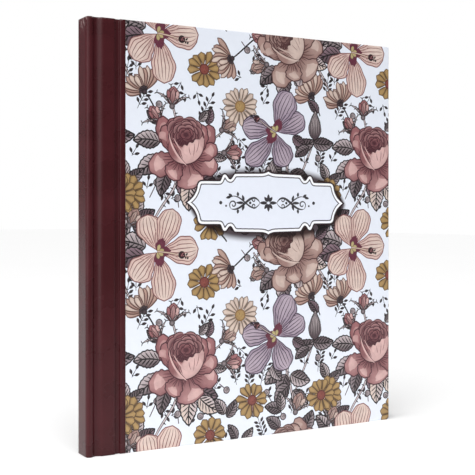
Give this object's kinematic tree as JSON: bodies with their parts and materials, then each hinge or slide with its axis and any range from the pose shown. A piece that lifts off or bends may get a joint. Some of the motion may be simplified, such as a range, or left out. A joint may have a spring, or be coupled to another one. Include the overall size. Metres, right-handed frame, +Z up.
{
  "type": "scrapbook album",
  "caption": "Post-bound scrapbook album with floral printed covers, a grooved vinyl spine and clear top-loading page sleeves that fan open.",
  "frame": {"origin": "middle of the tail edge, under the centre of the closed album", "axes": "+Z up the spine, +X from the spine to the fore edge, -Y out of the front cover"},
  "size_m": [0.25, 0.0174, 0.29],
  "materials": {
    "vinyl": "gloss",
    "board": "matte",
    "printed_paper": "gloss",
    "endpaper": "matte",
    "lining": "matte",
    "stub_card": "matte",
    "clear_film": "gloss",
    "insert_card": "matte",
    "post_metal": "satin"
  },
  "bodies": {
    "binding": {"spine_board": "board", "spine_covering": "vinyl", "spine_lining": "lining", "front_strip_board": "board", "back_strip_board": "board", "front_post_flap": "board", "back_post_flap": "board", "post_barrels": "post_metal", "post_screws": "post_metal", "leaf_01_stub": "stub_card", "leaf_02_stub": "stub_card", "leaf_03_stub": "stub_card", "leaf_04_stub": "stub_card", "leaf_05_stub": "stub_card", "leaf_06_stub": "stub_card", "leaf_07_stub": "stub_card", "leaf_08_stub": "stub_card", "leaf_09_stub": "stub_card", "leaf_10_stub": "stub_card"},
    "front_cover": {"front_board": "board", "front_cover_paper": "printed_paper", "front_hinge_vinyl": "vinyl", "front_endpaper": "endpaper"},
    "back_cover": {"back_board": "board", "back_cover_paper": "printed_paper", "back_hinge_vinyl": "vinyl", "back_endpaper": "endpaper"},
    "leaf_01": {"leaf_01_sleeve": "clear_film", "leaf_01_card": "insert_card"},
    "leaf_02": {"leaf_02_sleeve": "clear_film", "leaf_02_card": "insert_card"},
    "leaf_03": {"leaf_03_sleeve": "clear_film", "leaf_03_card": "insert_card"},
    "leaf_04": {"leaf_04_sleeve": "clear_film", "leaf_04_card": "insert_card"},
    "leaf_05": {"leaf_05_sleeve": "clear_film", "leaf_05_card": "insert_card"},
    "leaf_06": {"leaf_06_sleeve": "clear_film", "leaf_06_card": "insert_card"},
    "leaf_07": {"leaf_07_sleeve": "clear_film", "leaf_07_card": "insert_card"},
    "leaf_08": {"leaf_08_sleeve": "clear_film", "leaf_08_card": "insert_card"},
    "leaf_09": {"leaf_09_sleeve": "clear_film", "leaf_09_card": "insert_card"},
    "leaf_10": {"leaf_10_sleeve": "clear_film", "leaf_10_card": "insert_card"}
  },
  "joints": [
    {"name": "front_cover_open", "type": "hinge", "parent": "binding", "child": "front_cover", "pos_m": [-0.10285, -0.0089, 0.145], "axis": [0, 0, -1], "range_deg": [0, 180]},
    {"name": "back_cover_open", "type": "hinge", "parent": "binding", "child": "back_cover", "pos_m": [-0.10285, 0.0089, 0.145], "axis": [0, 0, 1], "range_deg": [0, 180]},
    {"name": "leaf_01_turn", "type": "hinge", "parent": "binding", "child": "leaf_01", "pos_m": [-0.0998, -0.00495, 0.145], "axis": [0, 0, -1], "range_deg": [0, 120]},
    {"name": "leaf_02_turn", "type": "hinge", "parent": "binding", "child": "leaf_02", "pos_m": [-0.0992, -0.00385, 0.145], "axis": [0, 0, -1], "range_deg": [0, 108]},
    {"name": "leaf_03_turn", "type": "hinge", "parent": "binding", "child": "leaf_03", "pos_m": [-0.0986, -0.00275, 0.145], "axis": [0, 0, -1], "range_deg": [0, 96]},
    {"name": "leaf_04_turn", "type": "hinge", "parent": "binding", "child": "leaf_04", "pos_m": [-0.098, -0.00165, 0.145], "axis": [0, 0, -1], "range_deg": [0, 84]},
    {"name": "leaf_05_turn", "type": "hinge", "parent": "binding", "child": "leaf_05", "pos_m": [-0.0974, -0.00055, 0.145], "axis": [0, 0, -1], "range_deg": [0, 72]},
    {"name": "leaf_06_turn", "type": "hinge", "parent": "binding", "child": "leaf_06", "pos_m": [-0.0968, 0.00055, 0.145], "axis": [0, 0, -1], "range_deg": [0, 60]},
    {"name": "leaf_07_turn", "type": "hinge", "parent": "binding", "child": "leaf_07", "pos_m": [-0.0962, 0.00165, 0.145], "axis": [0, 0, -1], "range_deg": [0, 48]},
    {"name": "leaf_08_turn", "type": "hinge", "parent": "binding", "child": "leaf_08", "pos_m": [-0.0956, 0.00275, 0.145], "axis": [0, 0, -1], "range_deg": [0, 36]},
    {"name": "leaf_09_turn", "type": "hinge", "parent": "binding", "child": "leaf_09", "pos_m": [-0.095, 0.00385, 0.145], "axis": [0, 0, -1], "range_deg": [0, 24]},
    {"name": "leaf_10_turn", "type": "hinge", "parent": "binding", "child": "leaf_10", "pos_m": [-0.0944, 0.00495, 0.145], "axis": [0, 0, -1], "range_deg": [0, 12]}
  ],
  "couplings": [
    {"joint": "leaf_01_turn", "follows": "front_cover_open", "ratio": 0.6666},
    {"joint": "leaf_02_turn", "follows": "front_cover_open", "ratio": 0.5999},
    {"joint": "leaf_03_turn", "follows": "front_cover_open", "ratio": 0.5333},
    {"joint": "leaf_04_turn", "follows": "front_cover_open", "ratio": 0.4666},
    {"joint": "leaf_05_turn", "follows": "front_cover_open", "ratio": 0.4},
    {"joint": "leaf_06_turn", "follows": "front_cover_open", "ratio": 0.3333},
    {"joint": "leaf_07_turn", "follows": "front_cover_open", "ratio": 0.2666},
    {"joint": "leaf_08_turn", "follows": "front_cover_open", "ratio": 0.2},
    {"joint": "leaf_09_turn", "follows": "front_cover_open", "ratio": 0.1333},
    {"joint": "leaf_10_turn", "follows": "front_cover_open", "ratio": 0.0666}
  ]
}
